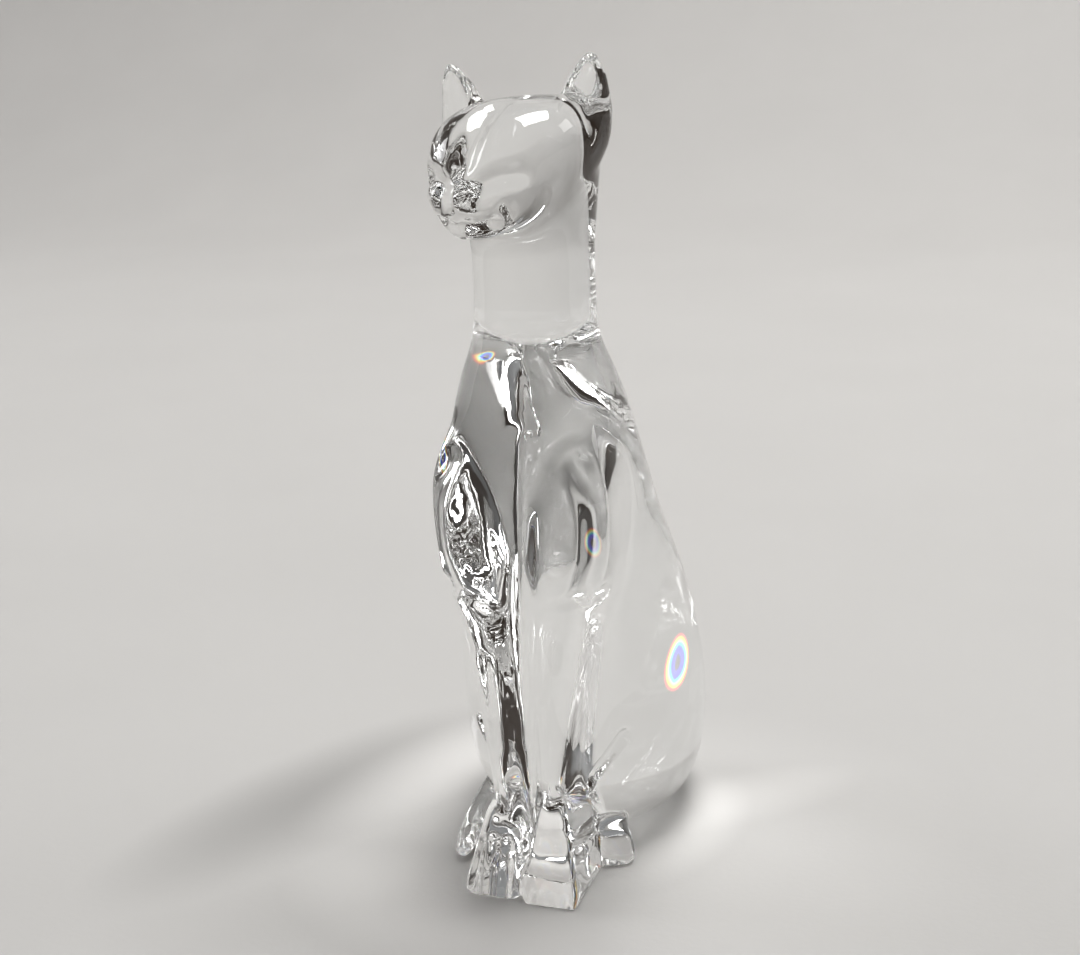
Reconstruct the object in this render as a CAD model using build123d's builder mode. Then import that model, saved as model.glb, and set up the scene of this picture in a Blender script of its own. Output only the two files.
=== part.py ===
from build123d import *
import os

os.makedirs("parts", exist_ok=True)

# A seated cat in solid clear glass, cast and polished in one piece.
# Millimetres. The cat looks towards -Y, +X is its own left, +Z is up.
# The origin is on the table, under the middle of the figure.

height = 160.0
front_y = -38.0
rump_y = 40.5
head_turn = 12.0

# Trunk and neck: height, chest line, back line, half width.
trunk_levels = [
    (0.0, -6.0, 36.0, 20.5),
    (5.0, -10.0, 39.0, 23.3),
    (14.0, -13.0, rump_y, 24.8),
    (28.0, -15.0, 40.0, 25.2),
    (42.0, -18.0, 36.5, 24.2),
    (56.0, -24.0, 30.0, 22.2),
    (70.0, -31.0, 21.0, 19.9),
    (84.0, -34.5, 11.0, 18.9),
    (94.0, -34.0, 4.5, 17.8),
    (102.0, -32.5, -0.5, 15.4),
    (109.0, -30.0, -4.0, 12.7),
    (116.0, -29.0, -4.5, 12.1),
]
neck_top_z = 140.0

# Head, from the back of the skull to the nose, along its own axis:
# distance, height of centre, half width, half height.
neck_axis_y = -17.0
head_levels = [
    (-14.0, 143.0, 5.5, 5.0),
    (-12.0, 143.0, 8.9, 8.5),
    (-6.0, 142.5, 12.6, 12.0),
    (2.0, 142.0, 14.4, 13.0),
    (9.0, 141.5, 14.4, 12.8),
    (15.0, 140.0, 12.6, 11.2),
    (20.0, 137.5, 8.8, 8.0),
    (23.0, 136.5, 5.5, 5.2),
]

# Left ear: height, distance to the side, distance forwards, half width, half depth.
ear_levels = [
    (142.0, 10.2, -18.0, 3.6, 6.0),
    (149.0, 11.4, -18.0, 4.6, 5.4),
    (155.5, 12.8, -18.5, 3.0, 3.6),
    (height, 14.0, -19.0, 0.7, 0.8),
]
ear_hollow_bottom = (146.0, 12.8, -25.5, 3.0, 4.6)
ear_hollow_top = (height, 14.4, -22.0, 0.6, 1.8)

# Left foreleg: height, inner edge, outer edge, front, back.
foreleg_levels = [
    (6.0, 0.6, 11.6, -34.0, -18.0),
    (17.0, 0.6, 11.2, -33.5, -18.0),
    (32.0, 0.6, 13.0, -33.5, -17.0),
    (46.0, 0.6, 14.8, -34.0, -15.0),
    (60.0, 0.6, 16.8, -36.0, -12.0),
    (74.0, 1.0, 18.4, -36.5, -10.0),
    (86.0, 2.0, 17.6, -33.5, -10.0),
    (97.0, 4.0, 12.5, -26.0, -14.0),
]

# The open slot between the forelegs, cut back from the chest.
slot_half_width = 1.6
slot_back_y = -22.0
slot_spring_z = 64.0
slot_top_z = 76.0

# Forepaws: one block for the pair, with grooves between the toes.
paw_middle_x = -0.6
paw_width = 25.4
paw_length = 21.0
paw_height = 14.0
paw_top_width = 20.0
paw_top_length = 13.0
toe_pitch = 3.1
toe_groove_radius = 0.6

# Hind feet turn outwards and are low, with a flat top.
hind_foot_size = (9.0, 23.0, 6.5)
hind_foot_middle = (9.5, -9.5)
hind_foot_turn = 24.0

# The tail lies on the table round the right side, and its tip reaches the forepaw.
tail_radius = 3.5
tail_axis_z = 3.0
tail_points = [
    (-8.0, 33.0),
    (-17.0, 25.0),
    (-20.6, 13.0),
    (-20.6, 0.0),
    (-19.4, -12.0),
    (-17.0, -23.5),
]


def head_plane(distance, level):
    """A plane across the head, turned with the face, with its own Y axis upright."""
    facing = Vector(0, -1, 0).rotate(Axis.Z, -head_turn)
    middle = Vector(0, neck_axis_y, level) + facing * distance
    across = Vector(0, 0, 1).cross(facing)
    return Plane(origin=middle, x_dir=across, z_dir=facing)


# Trunk: ellipses stacked from the rump to the top of the neck.
with BuildPart() as trunk:
    for level, chest, back, half_width in trunk_levels:
        with BuildSketch(Plane.XY.offset(level)):
            with Locations((0, (chest + back) / 2)):
                Ellipse((back - chest) / 2, half_width, rotation=90)
    loft()
    extrude(trunk.faces().sort_by(Axis.Z)[-1], amount=neck_top_z - trunk_levels[-1][0])

# Head: ellipses from the back of the skull to the nose.
with BuildPart() as head:
    for distance, level, half_width, half_height in head_levels:
        with BuildSketch(head_plane(distance, level)):
            Ellipse(half_width, half_height)
    loft()
    fillet(head.faces().sort_by(Axis.Y)[0].edges(), 3.0)

# Ears: low cones that lean outwards, hollowed from the front.
with BuildPart() as ears:
    for level, side, forward, half_width, half_depth in ear_levels:
        with BuildSketch(Plane.XY.offset(level)):
            with Locations((side, forward)):
                Ellipse(half_width, half_depth)
    loft()
    for level, side, forward, half_width, half_depth in (ear_hollow_bottom, ear_hollow_top):
        with BuildSketch(Plane.XY.offset(level)):
            with Locations((side, forward)):
                Ellipse(half_width, half_depth)
    loft(mode=Mode.SUBTRACT)
    mirror(about=Plane.YZ)

# Forelegs: upright columns that swell into the shoulders.
with BuildPart() as forelegs:
    for level, inner, outer, front, back in foreleg_levels:
        with BuildSketch(Plane.XY.offset(level)):
            with Locations(((inner + outer) / 2, (front + back) / 2)):
                Ellipse((outer - inner) / 2, (back - front) / 2)
    loft()
    mirror(about=Plane.YZ)

# Forepaws side by side, sloping back from the toes, with three grooves in each.
with BuildPart() as forepaws:
    with BuildSketch(Plane.XY):
        with Locations((paw_middle_x, front_y + paw_length / 2)):
            RectangleRounded(paw_width, paw_length, 5.0)
    with BuildSketch(Plane.XY.offset(paw_height)):
        with Locations((paw_middle_x, front_y + 5.0 + paw_top_length / 2)):
            RectangleRounded(paw_top_width, paw_top_length, 5.0)
    loft()
    fillet(forepaws.faces().sort_by(Axis.Z)[-1].edges(), 2.5)

# Hind feet: flat blocks with rounded corners, turned outwards.
with BuildPart() as hind_feet:
    with Locations(Location((*hind_foot_middle, 0), (0, 0, hind_foot_turn))):
        Box(*hind_foot_size, align=(Align.CENTER, Align.CENTER, Align.MIN))
    fillet(hind_feet.edges().filter_by(Axis.Z), 2.0)
    fillet(hind_feet.faces().sort_by(Axis.Z)[-1].edges(), 1.5)
    mirror(about=Plane.YZ)

# Tail: a round bar along the side with a rounded tip.
with BuildPart() as tail:
    with BuildLine() as tail_line:
        Spline(*[(x, y, tail_axis_z) for x, y in tail_points])
    with BuildSketch(Plane(origin=tail_line.line @ 0, z_dir=tail_line.line % 0)):
        Circle(tail_radius)
    sweep()
    with Locations(tail_line.line @ 1):
        Sphere(tail_radius)

# The cat: one closed solid, with the slot cut and the base ground flat.
with BuildPart() as crystal_cat:
    add(trunk.part)
    add(head.part)
    add(ears.part)
    add(forelegs.part)
    add(forepaws.part)
    add(hind_feet.part)
    add(tail.part)
    with BuildSketch(Plane.XZ.offset(-slot_back_y)):
        with BuildLine():
            Polyline(
                (-slot_half_width, paw_height),
                (slot_half_width, paw_height),
                (slot_half_width, slot_spring_z),
                (0, slot_top_z),
                (-slot_half_width, slot_spring_z),
                close=True,
            )
        make_face()
    extrude(amount=20.0, mode=Mode.SUBTRACT)
    for side in (-1, 1):
        for toe in (1, 2, 3):
            with Locations(Location((side * toe * toe_pitch, front_y - 0.2, 0), (-20, 0, 0))):
                Cylinder(
                    toe_groove_radius,
                    paw_height - 3.0,
                    align=(Align.CENTER, Align.CENTER, Align.MIN),
                    mode=Mode.SUBTRACT,
                )
    split(bisect_by=Plane.XY, keep=Keep.TOP)

crystal_cat.part.label = "crystal_cat"
box = crystal_cat.part.bounding_box()
print("solids", len(crystal_cat.part.solids()), "valid", crystal_cat.part.is_valid)
print("box", box.min, box.max)
print("volume", round(crystal_cat.part.volume))
export_step(crystal_cat.part, "parts/crystal_cat.step")
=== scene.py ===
# %% [markdown]
# # A seated cat in clear crystal
# The real figure looks like one casting of lead crystal, pressed in a mould and then rounded by
# fire and a polishing wheel. So this lesson makes one closed mesh, in the order that a modeller
# works in clay: rough lumps first, then one skin over all of them, then tool strokes that cut
# the eyes, the folds and the toes.

# %% load the frame
import math

import bmesh
import bpy
import numpy as np
from mathutils import Matrix, Vector


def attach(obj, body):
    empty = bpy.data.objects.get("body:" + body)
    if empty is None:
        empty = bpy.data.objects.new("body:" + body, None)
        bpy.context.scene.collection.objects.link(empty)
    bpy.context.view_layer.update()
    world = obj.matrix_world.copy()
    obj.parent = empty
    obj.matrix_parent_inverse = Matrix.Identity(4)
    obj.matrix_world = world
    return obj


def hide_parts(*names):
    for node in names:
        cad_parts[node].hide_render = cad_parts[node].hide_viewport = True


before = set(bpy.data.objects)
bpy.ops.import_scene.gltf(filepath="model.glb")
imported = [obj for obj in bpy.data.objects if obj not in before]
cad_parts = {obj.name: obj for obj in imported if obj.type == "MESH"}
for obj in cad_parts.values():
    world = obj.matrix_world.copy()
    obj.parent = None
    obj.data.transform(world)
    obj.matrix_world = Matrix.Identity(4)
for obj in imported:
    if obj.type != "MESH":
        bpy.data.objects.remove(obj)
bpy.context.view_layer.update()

MM = 0.001
UP = Vector((0, 0, 1))
scene = bpy.context.scene

# %% [markdown]
# ## Lumps
# Every part of a moulded animal is rounded in section, so a lump is a row of rings pulled from
# one to the next. A row may be short: a smooth curve through its numbers fills in the rest.
# Loose lumps are quick to place and may run into each other, since the skin joins them later.

# %% smooth rows and pulled lumps
RING_POINTS = 40


def smooth_row(levels, steps=5):
    """A Catmull-Rom curve through rows of numbers, so a few sections give many."""
    rows = np.array(levels, float)
    rows = np.vstack([2 * rows[0] - rows[1], rows, 2 * rows[-1] - rows[-2]])
    filled = []
    for a, b, c, d in zip(rows, rows[1:], rows[2:], rows[3:]):
        for t in np.linspace(0, 1, steps, endpoint=False):
            bend = (2 * a - 5 * b + 4 * c - d) * t * t + (3 * b - a - 3 * c + d) * t**3
            filled.append(b + ((c - a) * t + bend) / 2)
    filled.append(rows[-2])
    return filled


def ring_place(middle, right, ahead, onwards):
    """Lays a unit circle at a place, stretched along two directions, all in millimetres."""
    columns = Matrix((right, ahead, onwards)).transposed() * MM
    return Matrix.Translation(middle * MM) @ columns.to_4x4()


def level_ring(height, side_middle, side_half, front, back):
    """A level section, from its half width and how far it reaches forwards and back."""
    middle = Vector((side_middle, (front + back) / 2, height))
    return ring_place(middle, Vector((side_half, 0, 0)), Vector((0, (back - front) / 2, 0)), UP)


def pull_lump(clay, rings, square=2.0, taper=0.0):
    """Pulls a circle through every place, and closes both ends. A square of 2 keeps it
    round, and more gives it flatter sides and tighter corners. A taper widens its top."""
    first = bmesh.ops.create_circle(clay, cap_ends=True, segments=RING_POINTS, radius=1.0)["verts"]
    for v in first:
        v.co /= (abs(v.co.x) ** square + abs(v.co.y) ** square) ** (1 / square)
        v.co.x *= 1 + taper * v.co.y
    bmesh.ops.transform(clay, matrix=rings[0], verts=first)
    edge = list({e for v in first for e in v.link_edges})
    for before, after in zip(rings, rings[1:]):
        pulled = bmesh.ops.extrude_edge_only(clay, edges=edge)["geom"]
        ring = [g for g in pulled if isinstance(g, bmesh.types.BMVert)]
        edge = [g for g in pulled if isinstance(g, bmesh.types.BMEdge) and g.is_boundary]
        bmesh.ops.transform(clay, matrix=after @ before.inverted(), verts=ring)
    bmesh.ops.edgeloop_fill(clay, edges=edge)


clay = bmesh.new()
print("points in a ring", RING_POINTS)

# %% [markdown]
# ## Trunk and neck
# The body leans back from upright forelegs to a wide rump, and narrows to a long straight
# neck that widens again into the jaw. Level sections stacked in height follow that line: each
# row holds the height, the half width, and the reach forwards and back.

# %% trunk and neck
TRUNK = [
    (0.2, 16.0, -4.0, 30.6),
    (3.0, 19.2, -7.0, 34.6),
    (8.0, 22.4, -14.0, 38.2),
    (17.0, 24.8, -19.0, 40.2),
    (28.0, 25.2, -21.5, 39.8),
    (42.0, 24.2, -24.0, 36.2),
    (56.0, 22.1, -27.0, 29.8),
    (70.0, 19.8, -31.0, 20.8),
    (84.0, 18.4, -33.6, 11.0),
    (94.0, 17.0, -32.8, 4.5),
    (102.0, 14.9, -30.6, -0.5),
    (108.0, 12.6, -28.4, -3.6),
    (112.0, 11.9, -27.4, -4.4),
    (124.0, 11.9, -27.0, -4.5),
    (132.0, 12.7, -27.2, -4.5),
    (140.0, 13.5, -27.6, -4.6),
    (146.0, 13.2, -26.5, -5.2),
]
trunk_rings = [level_ring(z, 0, half, front, back) for z, half, front, back in smooth_row(TRUNK)]
TRUNK_SQUARE = 2.15
pull_lump(clay, trunk_rings, TRUNK_SQUARE)
print("trunk rings", len(trunk_rings))

# %% [markdown]
# ## Head
# The head is a short block laid along the line the cat looks, turned a little to its right.
# Its crown is nearly flat and its brow is steep, so its sections stand upright across that
# line, and they are squarer than the trunk's. Each row holds the distance ahead, the height of
# the middle, the half width and the half height. The crown is a little wider than the chin.

# %% head
HEAD_TURN = math.radians(12)
HEAD_PIVOT = Vector((0, -17, 0))
ACROSS = Vector((math.cos(HEAD_TURN), -math.sin(HEAD_TURN), 0.045))
AHEAD = Vector((-math.sin(HEAD_TURN), -math.cos(HEAD_TURN), 0))


def head_point(side, ahead, height):
    """A place on the head: to the cat's left, towards the nose, and up."""
    return HEAD_PIVOT + ACROSS * side + AHEAD * ahead + UP * height


HEAD = [
    (-12.6, 146.0, 5.0, 4.4),
    (-11.8, 145.5, 9.0, 7.2),
    (-8.0, 144.2, 12.0, 9.6),
    (-2.0, 143.6, 13.6, 10.4),
    (4.0, 143.2, 14.2, 10.8),
    (9.0, 142.4, 13.9, 11.1),
    (13.0, 141.2, 12.9, 11.0),
    (17.0, 139.6, 11.2, 10.2),
    (20.5, 137.8, 9.0, 8.5),
    (23.0, 136.2, 6.4, 6.3),
    (24.4, 135.4, 3.2, 3.6),
]
head_rings = [
    ring_place(head_point(0, ahead, height), ACROSS * wide, UP * tall, AHEAD)
    for ahead, height, wide, tall in smooth_row(HEAD)
]
HEAD_SQUARE, CROWN_TAPER = 2.6, 0.16
pull_lump(clay, head_rings, HEAD_SQUARE, CROWN_TAPER)
print("head rings", len(head_rings))

# %% [markdown]
# ## Forelegs
# Two straight forelegs stand close together and swell into the shoulders. Low down they reach
# back as far as the belly, because the mould leaves no gap behind them. Each row holds the
# height, the inner and the outer edge, and the reach forwards and back.

# %% forelegs
FORELEG = [
    (1.0, 0.3, 9.0, -34.6, -8.0),
    (17.0, 0.3, 8.8, -33.4, -8.0),
    (26.0, 0.2, 9.8, -33.0, -9.0),
    (36.0, 0.1, 11.2, -33.0, -11.0),
    (46.0, 0.0, 12.8, -33.2, -12.0),
    (57.0, 0.0, 14.8, -33.6, -11.0),
    (64.0, 0.2, 17.2, -35.6, -10.0),
    (75.0, 0.8, 18.4, -36.6, -9.0),
    (86.0, 1.6, 17.9, -35.0, -10.0),
    (97.0, 5.0, 13.4, -28.0, -14.0),
]
LEG_SQUARE = 2.5
for side in (1, -1):
    rings = []
    for z, inner, outer, front, back in smooth_row(FORELEG):
        rings.append(level_ring(z, side * (inner + outer) / 2, (outer - inner) / 2, front, back))
    pull_lump(clay, rings, LEG_SQUARE)
print("leg rings", len(rings))

# %% [markdown]
# ## Web between the legs
# A mould can't reach far in between two legs that stand so close, so the glass runs on behind
# them and only a groove parts them. One more lump fills that space.

# %% web
WEB = [
    (0.5, 7.6, -25.0, 12.0),
    (14.0, 7.6, -27.0, 12.0),
    (30.0, 8.0, -29.0, 12.0),
    (48.0, 9.0, -30.5, 12.0),
    (66.0, 9.0, -31.5, 5.0),
]
WEB_SQUARE = 3.2
web_rings = [level_ring(z, 0, half, front, back) for z, half, front, back in smooth_row(WEB)]
pull_lump(clay, web_rings, WEB_SQUARE)
print("web rings", len(web_rings))

# %% [markdown]
# ## The first skin
# A voxel remesh lays one even skin over the lumps, as wet clay closes over an armature. Many
# rounds of smoothing then melt the joins, as the fire polish does on the real piece.


# %% skin and smoothing
def smooth_round(work, verts, rounds):
    """Moves each point towards its neighbours a few times."""
    for _ in range(rounds):
        bmesh.ops.smooth_vert(
            work, verts=verts, factor=0.5, use_axis_x=True, use_axis_y=True, use_axis_z=True
        )


def skin_over(clay, name, voxel, rounds):
    """One closed, softened skin over all the lumps, ready for more work."""
    rough = bpy.data.meshes.new(name)
    clay.to_mesh(rough)
    lump = bpy.data.objects.new(name, rough)
    scene.collection.objects.link(lump)
    remesh = lump.modifiers.new("skin", "REMESH")
    remesh.mode = "VOXEL"
    remesh.voxel_size = voxel
    graph = bpy.context.evaluated_depsgraph_get()
    skinned = bpy.data.meshes.new_from_object(lump.evaluated_get(graph))
    bpy.data.objects.remove(lump)
    work = bmesh.new()
    work.from_mesh(skinned)
    smooth_round(work, work.verts, rounds)
    print(name, "skin has", len(work.verts), "points")
    return work


BODY_VOXEL, BODY_ROUNDS = 0.8 * MM, 36
clay = skin_over(clay, "body", BODY_VOXEL, BODY_ROUNDS)

# %% [markdown]
# ## Under the jaw
# The head and the neck meet in a crease that runs round to the nape. On the real cat the neck
# flows into the jaw, so the points below the cheeks are smoothed on their own, many times. The
# chin stays out of it: the limit in front moves back as it goes down.

# %% jaw
JAW_LOW, JAW_TOP = 122, 141
JAW_AHEAD, JAW_SLOPE = 15, 0.35
JAW_ROUNDS = 40


def how_far_ahead(v):
    """How far a point lies ahead of the neck, the way the face looks, in millimetres."""
    return (v.co / MM - HEAD_PIVOT).dot(AHEAD)


jaw = []
for v in clay.verts:
    level = v.co.z / MM
    if JAW_LOW < level < JAW_TOP and how_far_ahead(v) < JAW_AHEAD - (JAW_TOP - level) * JAW_SLOPE:
        jaw.append(v)
smooth_round(clay, jaw, JAW_ROUNDS)
print("jaw points", len(jaw))

# %% [markdown]
# ## Paws and feet
# The forepaws are plain wedges, narrow at the ankle and wide at the toes, and each hind foot
# is a low block that turns outwards. They go on after the first smoothing, which keeps their
# edges crisper than the body's.


# %% paws
def block(clay, middle, size, turn=0.0, top_scale=(1, 1), shift=(0, 0), bevel=1.5):
    """A block with a smaller top and rounded edges, standing on the table."""
    made = bmesh.ops.create_cube(clay, size=1.0)["verts"]
    for v in made:
        if v.co.z > 0:
            v.co.x = v.co.x * top_scale[0] + shift[0] / size[0]
            v.co.y = v.co.y * top_scale[1] + shift[1] / size[1]
    place = (
        Matrix.Translation(Vector(middle) * MM)
        @ Matrix.Rotation(turn, 4, "Z")
        @ Matrix.Diagonal((*(Vector(size) * MM), 1))
    )
    bmesh.ops.transform(clay, matrix=place, verts=made)
    edges = list({e for v in made for e in v.link_edges})
    bmesh.ops.bevel(
        clay, geom=edges, offset=bevel * MM, segments=3, profile=0.5,
        affect="EDGES", material=-1,
    )


HIND_TURN = math.radians(24)
HIND_MIDDLE = Vector((9.5, -9.5, 3.2))
block(
    clay, middle=(5.7, -28.0, 9.8), size=(12.2, 22.0, 20.2),
    top_scale=(0.46, 0.55), shift=(-0.6, 2.0), bevel=1.2,
)
block(
    clay, middle=(-6.6, -28.0, 9.0), size=(13.4, 21.6, 18.6),
    top_scale=(0.52, 0.55), shift=(1.2, 2.0), bevel=2.6,
)
for side in (1, -1):
    block(
        clay, middle=(side * HIND_MIDDLE.x, HIND_MIDDLE.y, HIND_MIDDLE.z), size=(9.6, 23.0, 7.0),
        turn=side * HIND_TURN, top_scale=(0.8, 0.9), shift=(0, 1.0), bevel=2.2,
    )
print("clay points with the paws", len(clay.verts))

# %% [markdown]
# ## Ears and tail
# The ears are thin leaves that stand up from the corners of the crown: each row holds the
# height, the distance out and ahead, the half width and the half thickness. The tail leaves the
# rump on the cat's right, lies against the thigh and ends beside the forepaw: each row holds a
# place and a radius.

# %% ears
EAR_TURN = math.radians(18)
EAR = [
    (138.0, 9.4, -1.6, 3.0, 5.0),
    (144.0, 11.4, -1.4, 4.4, 5.2),
    (149.0, 12.0, -1.0, 5.0, 4.6),
    (153.0, 12.4, -0.6, 4.6, 3.6),
    (156.2, 13.0, -0.2, 3.7, 2.8),
    (158.8, 13.7, 0.2, 2.3, 1.9),
    (160.8, 14.2, 0.4, 0.9, 0.9),
]
RIGHT_EAR_OUT = 1.6
for side in (1, -1):
    leaf = ACROSS * math.cos(EAR_TURN) * side - AHEAD * math.sin(EAR_TURN)
    through = leaf.cross(UP)
    rings = []
    for z, out, ahead, wide, thick in smooth_row(EAR):
        middle = head_point(side * out - RIGHT_EAR_OUT * (side < 0), ahead, z)
        rings.append(ring_place(middle, leaf * wide, through * thick, UP))
    pull_lump(clay, rings)
print("ear rings", len(rings))

# %% tail
TAIL = [
    (-8.0, 32.0, 3.4, 3.6),
    (-17.0, 24.0, 3.2, 3.4),
    (-20.8, 12.0, 2.9, 3.1),
    (-20.8, 0.0, 2.6, 2.8),
    (-19.6, -12.0, 2.3, 2.5),
    (-18.4, -20.0, 2.1, 2.2),
    (-17.8, -23.5, 2.0, 1.7),
    (-17.4, -25.2, 2.0, 0.6),
]
tail = smooth_row(TAIL, 6)
rings = []
for here, following in zip(tail, tail[1:] + [2 * tail[-1] - tail[-2]]):
    along = Vector((following[0] - here[0], following[1] - here[1], 0)).normalized()
    middle = Vector((here[0], here[1], here[2]))
    rings.append(ring_place(middle, along.cross(UP) * here[3], UP * here[3], along))
pull_lump(clay, rings)
print("tail rings", len(rings))

# %% [markdown]
# ## The second skin
# A finer skin joins the paws, the ears and the tail to the body. It is smoothed only a little,
# so that they keep their shape.

# %% whole skin
WHOLE_VOXEL, WHOLE_ROUNDS = 0.65 * MM, 6
clay = skin_over(clay, "whole", WHOLE_VOXEL, WHOLE_ROUNDS)

# %% [markdown]
# ## Tool strokes
# The eyes, the mouth, the shoulder leaves and the toes are grooves that the mould maker cut.
# A stroke here does the same: it follows a short path and presses every nearby point in. The
# points are held as arrays, so that one stroke can move thousands of them at once. A stroke is
# given its path, how wide it works to each side, and how deep.


# %% the knife
class Knife:
    """Presses grooves into a mesh. It works in millimetres."""

    def __init__(self, work):
        self.work = work
        self.at = np.array([v.co for v in work.verts]) / MM
        self.strokes = 0
        self.settle()

    def settle(self):
        """Writes the points back, and measures which way the surface now faces."""
        for v, p in zip(self.work.verts, self.at):
            v.co = p * MM
        self.work.normal_update()
        self.out = np.array([v.normal for v in self.work.verts])

    def stroke(self, path, radius, depth, towards=None, crisp=False):
        """Presses in along a path, or raises it with a negative depth. A crisp stroke
        leaves a rim, and any other fades out."""
        path = np.array(path, float)
        near = (self.at > path.min(axis=0) - radius).all(axis=1)
        near &= (self.at < path.max(axis=0) + radius).all(axis=1)
        here = self.at[near]
        away = np.full(len(here), radius)
        for a, b in zip(path, path[1:]):
            run = b - a
            t = np.clip((here - a) @ run / (run @ run), 0, 1)
            away = np.minimum(away, np.linalg.norm(here - a - t[:, None] * run, axis=1))
        pull = np.clip(1 - (away / radius) ** 2, 0, 1)[:, None]
        way = -self.out[near] if towards is None else np.array(Vector(towards).normalized())
        self.at[near] = here + (pull if crisp else pull * pull) * depth * way
        self.strokes += 1

    def pair(self, path, radius, depth, crisp=False):
        """The same stroke on both sides of the body."""
        for side in (1, -1):
            self.stroke(np.array(path) * (side, 1, 1), radius, depth, crisp=crisp)
        self.settle()

    def face(self, path, radius, depth, towards=None, crisp=False):
        """The same stroke on both sides of the head, in the head's own measures."""
        for side in (1, -1):
            line = [head_point(side * x, y, z) for x, y, z in path]
            aim = None
            if towards is not None:
                aim = ACROSS * side * towards[0] + AHEAD * towards[1] + UP * towards[2]
            self.stroke(line, radius, depth, aim, crisp)
        self.settle()


knife = Knife(clay)
print("points under the knife", len(knife.at))

# %% [markdown]
# ## Face
# A shallow valley runs down from the crown between the brows, and the nose stands out below it.
# The eyes are slanted cuts over a low cheek, the mouth is a curved cut, and a short one ends it.
# The ears are hollowed from the front. Depths are small, because glass shows the least groove.

# %% brow, eyes, nose and mouth
knife.face([(0, 11, 153.5), (0, 16, 151), (0, 21, 146), (0, 23.6, 141)], 3.6, 1.0)
knife.face([(0, 23.4, 141), (0, 24.4, 136.4)], 3.0, -0.8)
knife.face([(4.2, 22.6, 139.8), (7.0, 21.0, 141.0), (9.8, 18.8, 141.2)], 2.2, 1.8, crisp=True)
knife.face([(6.4, 22.0, 137.6), (9.6, 19.2, 138.2)], 2.6, -0.5)
knife.face([(0.0, 24.6, 132.6), (2.8, 23.6, 131.8), (5.4, 21.8, 132.6)], 2.1, 1.9, crisp=True)
knife.face([(8.2, 20.4, 135.0), (8.4, 18.8, 131.4)], 1.9, 0.9)
print("strokes so far", knife.strokes)

# %% hollow ears
EAR_HOLLOW = [(11.4, 4.6, 146.5), (12.2, 3.4, 151.0), (13.2, 2.2, 156.0)]
knife.face(EAR_HOLLOW, 3.4, 1.5, (-0.35, -1, 0))
print("strokes so far", knife.strokes)

# %% [markdown]
# ## Shoulders, chest and legs
# A long leaf is cut into each shoulder, and an elbow crease ends it. A fold runs down the middle
# of the chest, grows deeper, and goes on as the groove between the legs. The right leg has a
# shallow flute in front, the left leg a fine line, a crease marks each thigh, and a dimple the
# left haunch.

# %% shoulder leaves, elbows and the fold of the chest
LEAF = [(13.4, -33.4, 88.0), (15.4, -32.6, 79.0), (15.2, -32.6, 70.0), (14.0, -33.6, 64.0)]
knife.pair(LEAF, 3.6, 1.3, crisp=True)
knife.pair([(17.0, -28, 62.5), (13.0, -34.6, 62.5), (8.0, -36, 61.0), (2.4, -34.5, 58)], 2.6, 1.0)
knife.stroke([(1.6, -34, 93), (1.0, -36.5, 80), (0, -37, 66)], 3.2, 0.6)
knife.stroke([(1.0, -36.0, 84), (0, -37, 66)], 3.8, 0.9)
knife.stroke([(0.6, -36.5, 76), (0, -37, 66)], 4.2, 1.1)
knife.stroke([(0, -37, 72), (0, -34, 60), (0, -33.6, 46)], 2.4, 1.6, (0, 1, 0))
knife.stroke([(0, -34, 46), (0, -33.6, 30), (0, -34.0, 14)], 1.6, 1.2, (0, 1, 0))
knife.settle()
print("strokes so far", knife.strokes)

# %% leg grooves
knife.stroke([(-7.6, -33.0, 48), (-6.4, -33.2, 30)], 2.4, 0.5)
knife.stroke([(12.8, -27.6, 58), (11.2, -28.0, 44), (9.6, -28.6, 30)], 1.1, 0.35)
knife.settle()
knife.pair([(9.6, -19.4, 18.5), (12.8, -17.8, 23.0), (15.6, -15.8, 27.5)], 1.7, 1.8, crisp=True)
knife.stroke([(22.6, -0.6, 41), (21.8, -3.2, 35)], 2.8, 0.8)
knife.settle()
print("strokes so far", knife.strokes)

# %% [markdown]
# ## Toes
# The right forepaw has three clear grooves that run up its front. The left one has only three
# small notches low down, and so has each hind foot.

# %% toes
RIGHT_TOES = (-10.0, -6.9, -3.8)
LEFT_TOES = (3.4, 6.4, 9.2)
HIND_TOE_PITCH = 2.3
HIND_TOE_LINE = -11.5
for x in RIGHT_TOES:
    groove = [(x, -38.6, 0), (x, -37.2, 4.5), (x * 0.95, -35.0, 11)]
    knife.stroke(groove, 1.4, 1.5, towards=(0, 1, -0.2), crisp=True)
for x in LEFT_TOES:
    knife.stroke([(x, -39.0, 0), (x, -38.4, 2.2)], 1.0, 0.5, towards=(0, 1, 0), crisp=True)
for side in (1, -1):
    for toe in (-1, 0, 1):
        out = Vector((toe * HIND_TOE_PITCH, HIND_TOE_LINE, 0))
        foot = Matrix.Rotation(side * HIND_TURN, 3, "Z") @ out
        x, y = side * HIND_MIDDLE.x + foot.x, HIND_MIDDLE.y + foot.y
        knife.stroke([(x, y, 0.5), (x, y, 4.5)], 1.0, 0.7)
knife.settle()
print("strokes in all", knife.strokes)

# %% [markdown]
# ## Polish and base
# The last smoothing is the fire polish. The underside is ground flat on the real piece, so a
# plane cuts the mesh just above the table, the cut is closed and the figure is set down again.

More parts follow.
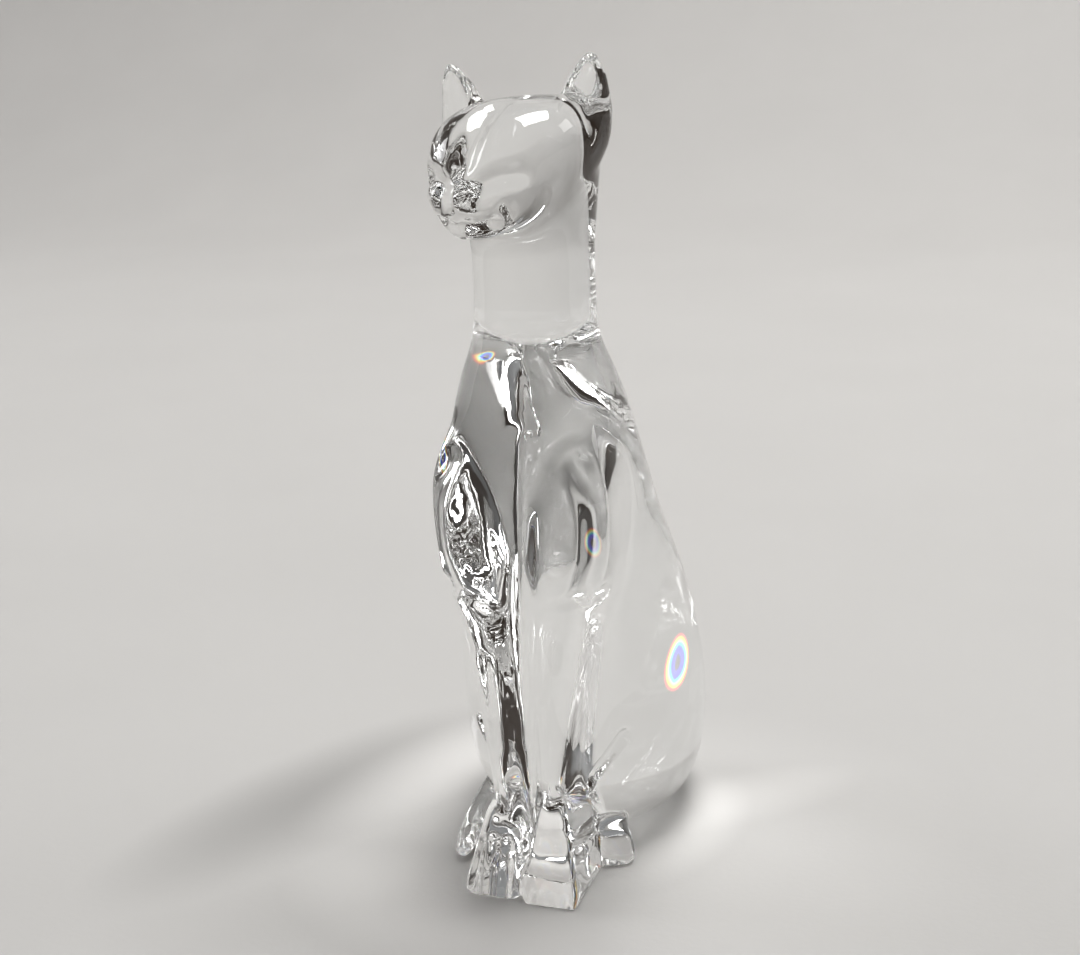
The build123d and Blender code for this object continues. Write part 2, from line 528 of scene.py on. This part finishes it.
# %% polish and base
POLISH_ROUNDS = 3
MUZZLE_AHEAD, MUZZLE_LOW = 15, 126 * MM
GROUND_OFF = 0.2 * MM
smooth_round(clay, clay.verts, POLISH_ROUNDS)
muzzle = [v for v in clay.verts if how_far_ahead(v) > MUZZLE_AHEAD and v.co.z > MUZZLE_LOW]
smooth_round(clay, muzzle, POLISH_ROUNDS)
bmesh.ops.bisect_plane(
    clay, geom=clay.verts[:] + clay.edges[:] + clay.faces[:],
    plane_co=(0, 0, GROUND_OFF), plane_no=(0, 0, 1), clear_inner=True,
)
bmesh.ops.edgeloop_fill(clay, edges=[e for e in clay.edges if e.is_boundary])
bmesh.ops.translate(clay, vec=(0, 0, -GROUND_OFF), verts=clay.verts)
bmesh.ops.recalc_face_normals(clay, faces=clay.faces)
cat_mesh = bpy.data.meshes.new("crystal_cat_glass")
clay.to_mesh(cat_mesh)
cat_mesh.shade_smooth()
cat = bpy.data.objects.new("cat_glass", cat_mesh)
scene.collection.objects.link(cat)
cat_mesh.calc_loop_triangles()
print("cat triangles", len(cat_mesh.loop_triangles))

# %% [markdown]
# ## Shader arithmetic
# The materials below need sums and products of positions. A small class wraps one socket, so
# that ordinary arithmetic on it adds the Math nodes, and one function adds any other node.


# %% shader maths
class Wire:
    """One value in a shader tree. Arithmetic on wires makes the Math nodes."""

    def __init__(self, tree, socket):
        self.tree = tree
        self.socket = socket

    def math(self, operation, *others):
        made = self.tree.nodes.new("ShaderNodeMath")
        made.operation = operation
        for slot, value in zip(made.inputs, (self, *others)):
            if isinstance(value, Wire):
                self.tree.links.new(value.socket, slot)
            else:
                slot.default_value = value
        return Wire(self.tree, made.outputs[0])

    def __add__(self, other):
        return self.math("ADD", other)

    def __sub__(self, other):
        return self.math("SUBTRACT", other)

    def __mul__(self, other):
        return self.math("MULTIPLY", other)

    def __truediv__(self, other):
        return self.math("DIVIDE", other)

    def __pow__(self, other):
        return self.math("POWER", other)

    def __rsub__(self, other):
        return self * -1.0 + other

    __radd__ = __add__
    __rmul__ = __mul__


def node(tree, kind, settings=None, inputs=None, output=0):
    """Adds any other node, sets it up, wires its inputs and hands back one output."""
    made = tree.nodes.new(kind)
    for name, value in (settings or {}).items():
        setattr(made, name, value)
    for name, value in (inputs or {}).items():
        if isinstance(value, Wire):
            tree.links.new(value.socket, made.inputs[name])
        else:
            made.inputs[name].default_value = value
    return Wire(tree, made.outputs[output])


def new_material(name):
    """A material with its output left open, and the object coordinates in millimetres."""
    material = bpy.data.materials.new(name)
    material.use_nodes = True
    tree = material.node_tree
    tree.nodes.remove(tree.nodes["Principled BSDF"])
    place = node(tree, "ShaderNodeTexCoord", output="Object")
    axes = [node(tree, "ShaderNodeSeparateXYZ", inputs={0: place}, output=axis) / MM for axis in "XYZ"]
    return material, tree, place, axes


def finish_material(tree, shader):
    """Wires a shader to the material's output."""
    tree.links.new(shader.socket, tree.nodes["Material Output"].inputs["Surface"])


# %% [markdown]
# ## Crystal
# Lead crystal bends light more than window glass, and it is almost colourless. The polish is
# perfect but never quite flat, so a long, faint ripple goes into the bump. Lead crystal also
# throws little rainbow spots where a curve gathers the light. A path tracer with one
# refractive index can't split colours, so three small oval rings of light stand in for the
# brightest of them: red outside, blue inside, with the blue band the broadest.

# %% crystal
CLEAR_TINT = (0.985, 0.99, 0.987, 1)
CRYSTAL_INDEX = 1.545
RING_DEPTH = 6.0
BANDS = [(0.86, 0.17), (0.76, 0.18), (0.58, 0.26)]
crystal, tree, place, (east, north, height) = new_material("clear crystal")
ripple = node(tree, "ShaderNodeTexNoise", inputs={"Vector": place, "Scale": 55.0, "Detail": 1.0})
skin = node(tree, "ShaderNodeBump", inputs={"Strength": 0.2, "Distance": 0.0006, "Height": ripple})


def painted_rainbow_ring(middle, lean, wide, tall, strength):
    """Painted rainbow light: the red, green and blue glow of one small oval ring, each a band at its
    own radius.
    """
    x, y, z = middle
    across = (east - x) * math.cos(lean) + (height - z) * math.sin(lean)
    along = (height - z) * math.cos(lean) - (east - x) * math.sin(lean)
    off_plane = (north - y) / RING_DEPTH
    out = ((across / wide) ** 2.0 + (along / tall) ** 2.0 + off_plane ** 2.0) ** 0.5
    bands = []
    for radius, spread in BANDS:
        off = (out - radius) / spread
        bands.append((1.0 - off * off).math("MAXIMUM", 0.0) * strength)
    return bands


# Painted light: three rings of rainbow glow on the glass, in place of the split highlights that lead
# crystal throws.
haunch_painted_rainbow = painted_rainbow_ring((21.9, -1.9, 37.9), -0.5, 4.0, 7.6, 0.6)
right_painted_rainbow = painted_rainbow_ring((-14.6, -30.0, 88.0), 0.2, 1.1, 3.6, 0.22)
left_painted_rainbow = painted_rainbow_ring((15.2, -33.4, 73.0), 0.1, 1.2, 3.2, 0.16)
red, green, blue = (a + b + c for a, b, c in zip(haunch_painted_rainbow, right_painted_rainbow, left_painted_rainbow))
flare = node(tree, "ShaderNodeCombineColor", inputs={"Red": red, "Green": green, "Blue": blue})
shader = node(
    tree, "ShaderNodeBsdfPrincipled",
    inputs={
        "Base Color": CLEAR_TINT, "Roughness": 0.0, "IOR": CRYSTAL_INDEX,
        "Transmission Weight": 1.0, "Normal": skin,
        "Emission Color": flare, "Emission Strength": 1.0,
    },
)
finish_material(tree, shader)
cat_mesh.materials.append(crystal)
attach(cat, "root")
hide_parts("crystal_cat")
print("crystal nodes", len(tree.nodes))

# %% [markdown]
# ## Table
# The figure stands on a plain pale sheet of matt paper with a faint tooth. Solid glass gathers
# light and casts it beside itself. Tracing that is slow and noisy, so the sheet's colour carries
# painted light in soft bright patches, and painted shade beside them, as a slow change of tone.
# More painted light lightens the glass's rendered shadow under the figure, by the paws and the rump.

# %% table material
paper, tree, place, (east, north, height) = new_material("pale table")


def patch(x, y, long, short, turn):
    """1 in the middle of a soft oval on the table, and 0 outside it, in millimetres: the mask of one
    patch of painted light or painted shade.
    """
    c, s = math.cos(math.radians(turn)), math.sin(math.radians(turn))
    along = ((east - x) * c + (north - y) * s) / long
    beside = ((north - y) * c - (east - x) * s) / short
    return (1.0 - along * along - beside * beside).math("MAXIMUM", 0.0) ** 1.6


# Painted light and shade on the table: two bright patches stand for light that the glass gathers and
# casts beside itself, three lighter patches lift the glass's rendered shadow under and around the
# figure, and a darker patch to the left is painted shade.
left_glow = patch(-40, 19, 46, 17, 68) * 0.31
right_glow = patch(32, 18, 34, 13, 42) * 0.17
under_painted_light = patch(14, 2, 78, 66, 0) * 0.14
paw_painted_light = patch(-17, -44, 38, 22, -20) * 0.36
rump_painted_light = patch(21, 0, 30, 15, 80) * 0.42
shade = patch(-60, -3, 66, 24, 68) * 0.3
glow = left_glow + right_glow
painted_lift = under_painted_light + paw_painted_light + rump_painted_light
grain = node(tree, "ShaderNodeTexNoise", inputs={"Vector": place, "Scale": 9.0, "Detail": 3.0})
# The paper's tone: its own faint random grain, times the painted light and painted shade.
tone = (1.0 + glow + painted_lift - shade) * (0.97 + grain * 0.06)
colour = node(
    tree, "ShaderNodeCombineColor",
    inputs={"Red": tone * 0.615, "Green": tone * 0.607, "Blue": tone * 0.597},
)
tooth = node(tree, "ShaderNodeTexNoise", inputs={"Vector": place, "Scale": 700.0, "Detail": 2.0})
weave = node(tree, "ShaderNodeBump", inputs={"Strength": 0.12, "Distance": 0.0003, "Height": tooth})
sheet = node(
    tree, "ShaderNodeBsdfPrincipled",
    inputs={"Base Color": colour, "Roughness": 0.55 + grain * 0.12, "Normal": weave},
)
finish_material(tree, sheet)
print("table nodes", len(tree.nodes))

# %% [markdown]
# ## Cove
# The sheet sweeps up into walls, as in a studio: an open box with its edges bevelled wide. A
# hair of air stays under the figure, because glass that touches the table exactly shows black
# there. Glass only looks like glass if part of its surroundings is dark, so the near strip and
# the right wing of the cove show to the camera alone. Every ray that has met the glass passes
# through them and reaches a dim warm room instead.

# %% cove
ROOM = Vector((4.0, 3.0, 2.0))
CORNER = 0.6
AIR_GAP = 0.2 * MM
NEAR_EDGE, RIGHT_EDGE = -0.13, 1.5
cove = bmesh.new()
walls = bmesh.ops.create_cube(cove, size=1.0)["verts"]
middle = Matrix.Translation((0, 0, ROOM.z / 2 - AIR_GAP))
bmesh.ops.transform(cove, matrix=middle @ Matrix.Diagonal((*ROOM, 1)), verts=walls)
lid = [f for f in cove.faces if f.calc_center_median().z > ROOM.z * 0.9]
bmesh.ops.delete(cove, geom=lid, context="FACES_ONLY")
corners = [e for e in cove.edges if not e.is_boundary]
bmesh.ops.bevel(
    cove, geom=corners, offset=CORNER, segments=20, profile=0.5, affect="EDGES", material=-1
)
bmesh.ops.reverse_faces(cove, faces=cove.faces)
for edge, across in (((0, NEAR_EDGE, 0), (0, 1, 0)), ((RIGHT_EDGE, 0, 0), (1, 0, 0))):
    bmesh.ops.bisect_plane(
        cove, geom=cove.verts[:] + cove.edges[:] + cove.faces[:], plane_co=edge, plane_no=across
    )


def in_dim_part(face):
    """Whether a face lies in the near strip or the right wing."""
    at = face.calc_center_median()
    return at.y < NEAR_EDGE or at.x > RIGHT_EDGE


for name, dim in (("cove", False), ("cove_wing", True)):
    part = cove.copy()
    spare = [f for f in part.faces if in_dim_part(f) != dim]
    bmesh.ops.delete(part, geom=spare, context="FACES")
    part_mesh = bpy.data.meshes.new(name)
    part.to_mesh(part_mesh)
    part_mesh.shade_smooth()
    part_mesh.materials.append(paper)
    wall = bpy.data.objects.new(name, part_mesh)
    scene.collection.objects.link(wall)
    if dim:
        wall.visible_transmission = False
        wall.visible_glossy = False
        wall.visible_diffuse = False
        wall.visible_shadow = False
    print(name, "faces", len(part_mesh.polygons))

# %% [markdown]
# ## Room
# The room beyond the cove is dim and warm towards the viewer and paler behind, which draws the
# dark outlines that a glass figure has. Seen directly it is plain and pale, like the cove.

# %% room
world = bpy.data.worlds.new("studio")
scene.world = world
world.use_nodes = True
tree = world.node_tree
view = node(tree, "ShaderNodeTexCoord", output="Generated")
backwards = node(tree, "ShaderNodeSeparateXYZ", inputs={0: view}, output="Y") * 0.5 + 0.5
ROOM_TONES = [
    (0.00, (0.028, 0.019, 0.014, 1)),
    (0.30, (0.038, 0.030, 0.025, 1)),
    (0.55, (0.080, 0.080, 0.078, 1)),
    (0.80, (0.320, 0.325, 0.330, 1)),
    (1.00, (0.480, 0.485, 0.490, 1)),
]
tones = tree.nodes.new("ShaderNodeValToRGB")
tones.color_ramp.interpolation = "B_SPLINE"
for i, (at, tone) in enumerate(ROOM_TONES):
    stop = tones.color_ramp.elements[i] if i < 2 else tones.color_ramp.elements.new(at)
    stop.position = at
    stop.color = tone
tree.links.new(backwards.socket, tones.inputs[0])
PALE = (0.55, 0.55, 0.55, 1)
direct = node(tree, "ShaderNodeLightPath", output="Is Camera Ray")
seen = node(
    tree, "ShaderNodeMix", {"data_type": "RGBA"},
    {"Factor": direct, "A": Wire(tree, tones.outputs[0]), "B": PALE},
    output="Result",
)
tree.links.new(seen.socket, tree.nodes["Background"].inputs["Color"])
print("room tones", len(ROOM_TONES))

# %% [markdown]
# ## Lamps
# Three soft lamps: a large one overhead and a little behind, and two smaller ones at the sides,
# like windows, for the long highlights.


# %% lamps
def lamp(name, place, aim, size, watts, colour):
    """A soft oblong lamp that faces a place."""
    data = bpy.data.lights.new(name, "AREA")
    data.shape = "RECTANGLE"
    data.size, data.size_y = size
    data.energy = watts
    data.color = colour
    ob = bpy.data.objects.new(name, data)
    ob.location = place
    ob.rotation_euler = (Vector(aim) - Vector(place)).to_track_quat("-Z", "Y").to_euler()
    scene.collection.objects.link(ob)


lamp("overhead", (0.2, 0.5, 2.1), (0, 0.3, 0), (1.0, 1.0), 31, (1, 0.995, 0.98))
lamp("back window", (1.5, 0.9, 1.1), (0, 0, 0.1), (0.7, 0.7), 3.6, (1, 0.99, 0.97))
lamp("side window", (-1.8, 0.3, 1.2), (0, 0, 0.1), (0.8, 0.6), 6.5, (0.98, 0.985, 1))
print("lamps", len(bpy.data.lights))

# %% [markdown]
# ## Light path and tone
# Light bounces many times inside a solid figure before it leaves, so the path limits are
# raised. The plain view transform keeps the pale table neutral.

# %% light path and tone
BOUNCES = 24
scene.cycles.max_bounces = BOUNCES
scene.cycles.glossy_bounces = BOUNCES
scene.cycles.transmission_bounces = BOUNCES
scene.view_settings.view_transform = "Standard"
scene.view_settings.look = "Medium High Contrast"
print("bounces", BOUNCES)

# %% [markdown]
# ## Camera
# The camera stands 33 cm away, a little above the figure and to its left, and looks down.

# %% camera
HEADING, TILT, ROLL = (math.radians(v) for v in (18.96, 15.0, -2.24))
eye = Vector((0.10198, -0.31385, 0.165))
camera_data = bpy.data.cameras.new("camera")
camera_data.lens = 55.5
camera_data.sensor_width = 36.0
camera_data.clip_start = 0.01
camera = bpy.data.objects.new("camera", camera_data)
camera.matrix_world = (
    Matrix.Translation(eye)
    @ Matrix.Rotation(HEADING, 4, "Z")
    @ Matrix.Rotation(math.pi / 2 - TILT, 4, "X")
    @ Matrix.Rotation(ROLL, 4, "Z")
)
scene.collection.objects.link(camera)
scene.camera = camera
print("camera distance, m", round(Vector((eye.x, eye.y, 0)).length, 3))
